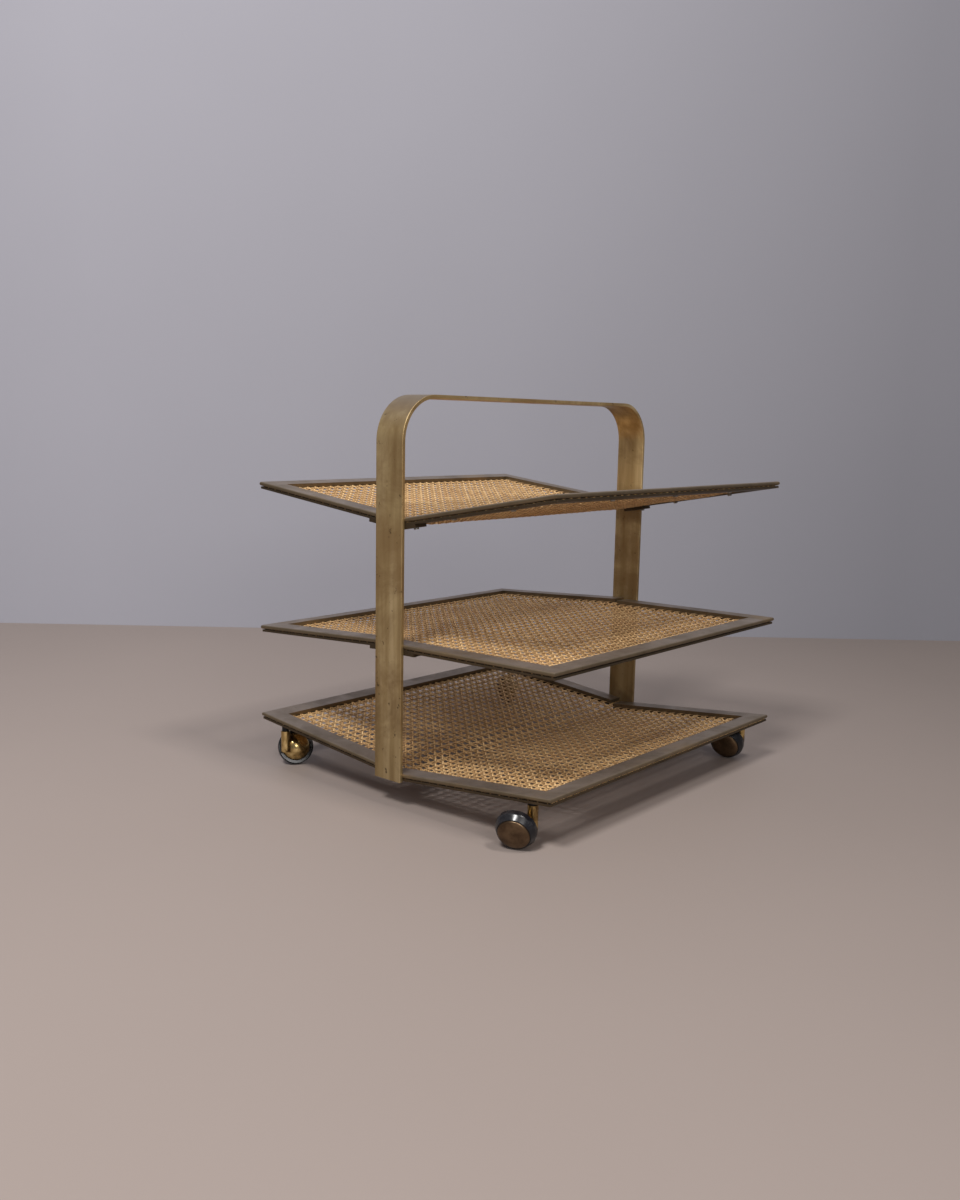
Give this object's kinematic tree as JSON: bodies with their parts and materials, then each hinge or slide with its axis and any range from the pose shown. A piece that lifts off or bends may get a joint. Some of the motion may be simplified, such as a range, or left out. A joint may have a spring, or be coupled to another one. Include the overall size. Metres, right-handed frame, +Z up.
{
  "type": "serving trolley",
  "caption": "Low three-tier serving trolley: inverted-U brass bar handle, square folded shelves of woven cane in brass edging, hooded ball casters.",
  "frame": {"origin": "on the floor, midway between the uprights under the centre of the trolley", "axes": "+Z up; the bent bar lies in the YZ plane; front is -Y; right is +X"},
  "size_m": [0.5175, 0.574, 0.521],
  "materials": {
    "aged_brass_bar": "satin, aged and streaked",
    "bronzed_rail": "dull bronzed brass",
    "dull_brass_strip": "unpolished",
    "woven_cane": "natural six-way woven cane",
    "steel_fastener": "dull",
    "black_steel": "blackened",
    "polished_brass": "polished",
    "bronze_cap": "dark bronze",
    "tyre": "smooth black",
    "core_plastic": "moulded"
  },
  "bodies": {
    "trolley": {"arch_handle": "aged_brass_bar", "back_left_caster_stem": "black_steel", "back_right_caster_stem": "black_steel", "bottom_back_left_rail": "bronzed_rail", "bottom_back_right_rail": "bronzed_rail", "bottom_cane_panel": "woven_cane", "bottom_clamp_screws": "steel_fastener", "bottom_front_left_rail": "bronzed_rail", "bottom_front_right_rail": "bronzed_rail", "bottom_left_clamp_frame": "dull_brass_strip", "bottom_left_end_rail": "bronzed_rail", "bottom_right_clamp_frame": "dull_brass_strip", "bottom_right_end_rail": "bronzed_rail", "front_left_caster_stem": "black_steel", "front_right_caster_stem": "black_steel", "middle_back_left_rail": "bronzed_rail", "middle_back_right_rail": "bronzed_rail", "middle_bracket_fasteners": "steel_fastener", "middle_brackets": "dull_brass_strip", "middle_cane_panel": "woven_cane", "middle_clamp_screws": "steel_fastener", "middle_front_left_rail": "bronzed_rail", "middle_front_right_rail": "bronzed_rail", "middle_left_clamp_frame": "dull_brass_strip", "middle_left_end_rail": "bronzed_rail", "middle_right_clamp_frame": "dull_brass_strip", "middle_right_end_rail": "bronzed_rail", "top_back_left_rail": "bronzed_rail", "top_back_right_rail": "bronzed_rail", "top_bracket_fasteners": "steel_fastener", "top_brackets": "dull_brass_strip", "top_cane_panel": "woven_cane", "top_clamp_screws": "steel_fastener", "top_front_left_rail": "bronzed_rail", "top_front_right_rail": "bronzed_rail", "top_left_clamp_frame": "dull_brass_strip", "top_left_end_rail": "bronzed_rail", "top_right_clamp_frame": "dull_brass_strip", "top_right_end_rail": "bronzed_rail"},
    "front_right_swivel": {"front_right_caster_hood": "polished_brass", "front_right_caster_axle": "steel_fastener"},
    "front_right_wheel": {"front_right_wheel_core": "core_plastic", "front_right_tyre": "tyre", "front_right_hub_cap": "bronze_cap"},
    "front_left_swivel": {"front_left_caster_hood": "polished_brass", "front_left_caster_axle": "steel_fastener"},
    "front_left_wheel": {"front_left_wheel_core": "core_plastic", "front_left_tyre": "tyre", "front_left_hub_cap": "bronze_cap"},
    "back_right_swivel": {"back_right_caster_hood": "polished_brass", "back_right_caster_axle": "steel_fastener"},
    "back_right_wheel": {"back_right_wheel_core": "core_plastic", "back_right_tyre": "tyre", "back_right_hub_cap": "bronze_cap"},
    "back_left_swivel": {"back_left_caster_hood": "polished_brass", "back_left_caster_axle": "steel_fastener"},
    "back_left_wheel": {"back_left_wheel_core": "core_plastic", "back_left_tyre": "tyre", "back_left_hub_cap": "bronze_cap"}
  },
  "joints": [
    {"name": "front_right_swivel_turn", "type": "hinge", "parent": "trolley", "child": "front_right_swivel", "pos_m": [0.223, -0.25, 0.04], "axis": [0, 0, 1], "continuous": true},
    {"name": "front_right_wheel_spin", "type": "hinge", "parent": "front_right_swivel", "child": "front_right_wheel", "pos_m": [0.21341, -0.26897, 0.02379], "axis": [0.352, -0.8713, -0.342], "continuous": true},
    {"name": "front_left_swivel_turn", "type": "hinge", "parent": "trolley", "child": "front_left_swivel", "pos_m": [-0.223, -0.25, 0.04], "axis": [0, 0, 1], "continuous": true},
    {"name": "front_left_wheel_spin", "type": "hinge", "parent": "front_left_swivel", "child": "front_left_wheel", "pos_m": [-0.22712, -0.22914, 0.02379], "axis": [-0.8138, 0.4698, -0.342], "continuous": true},
    {"name": "back_right_swivel_turn", "type": "hinge", "parent": "trolley", "child": "back_right_swivel", "pos_m": [0.223, 0.25, 0.04], "axis": [0, 0, 1], "continuous": true},
    {"name": "back_right_wheel_spin", "type": "hinge", "parent": "back_right_swivel", "child": "back_right_wheel", "pos_m": [0.21026, 0.23298, 0.02379], "axis": [0.1954, -0.9192, -0.342], "continuous": true},
    {"name": "back_left_swivel_turn", "type": "hinge", "parent": "trolley", "child": "back_left_swivel", "pos_m": [-0.223, 0.25, 0.04], "axis": [0, 0, 1], "continuous": true},
    {"name": "back_left_wheel_spin", "type": "hinge", "parent": "back_left_swivel", "child": "back_left_wheel", "pos_m": [-0.24087, 0.26152, 0.02379], "axis": [-0.9033, -0.259, -0.342], "continuous": true}
  ]
}
